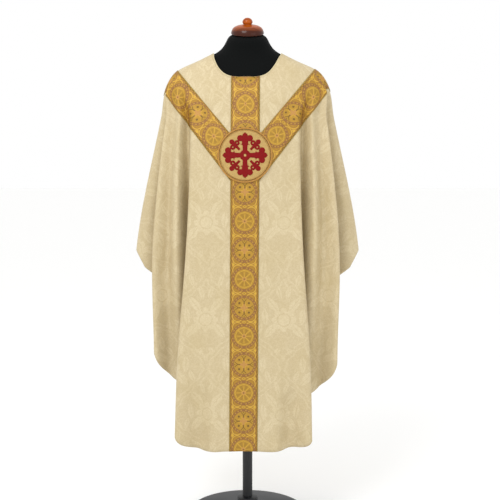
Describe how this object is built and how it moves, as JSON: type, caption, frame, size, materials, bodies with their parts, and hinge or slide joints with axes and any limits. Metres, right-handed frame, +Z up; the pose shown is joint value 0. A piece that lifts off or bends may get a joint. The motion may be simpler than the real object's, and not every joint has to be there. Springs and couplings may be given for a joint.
{
  "type": "chasuble on a dress form",
  "caption": "Cream damask chasuble with gold orphreys and a round emblem on the chest, draped on a limbless dress form with a round base.",
  "frame": {"origin": "centre of the base's underside, on the floor", "axes": "+Z up, -Y towards the front of the garment, +X towards the wearer's left"},
  "size_m": [0.7114, 0.38, 1.6015],
  "materials": {
    "damask": "cream damask, satin figure on a matt ground",
    "orphrey": "gold woven band with metal thread",
    "medallion": "couched gold thread",
    "cord": "twisted gold cord",
    "cross": "red satin stitch",
    "jersey": "black knitted cover",
    "wood": "turned and varnished, glossy",
    "steel": "black satin powder coat"
  },
  "bodies": {
    "root": {"front_panel": "damask", "back_panel": "damask", "orphrey_front_centre": "orphrey", "orphrey_front_left": "orphrey", "orphrey_front_right": "orphrey", "orphrey_back_centre": "orphrey", "orphrey_back_left": "orphrey", "orphrey_back_right": "orphrey", "medallion": "medallion", "medallion_cord": "cord", "medallion_cross": "cross", "form_body": "jersey", "form_neck_cap": "wood", "form_pole": "steel", "form_base": "steel"}
  },
  "joints": []
}
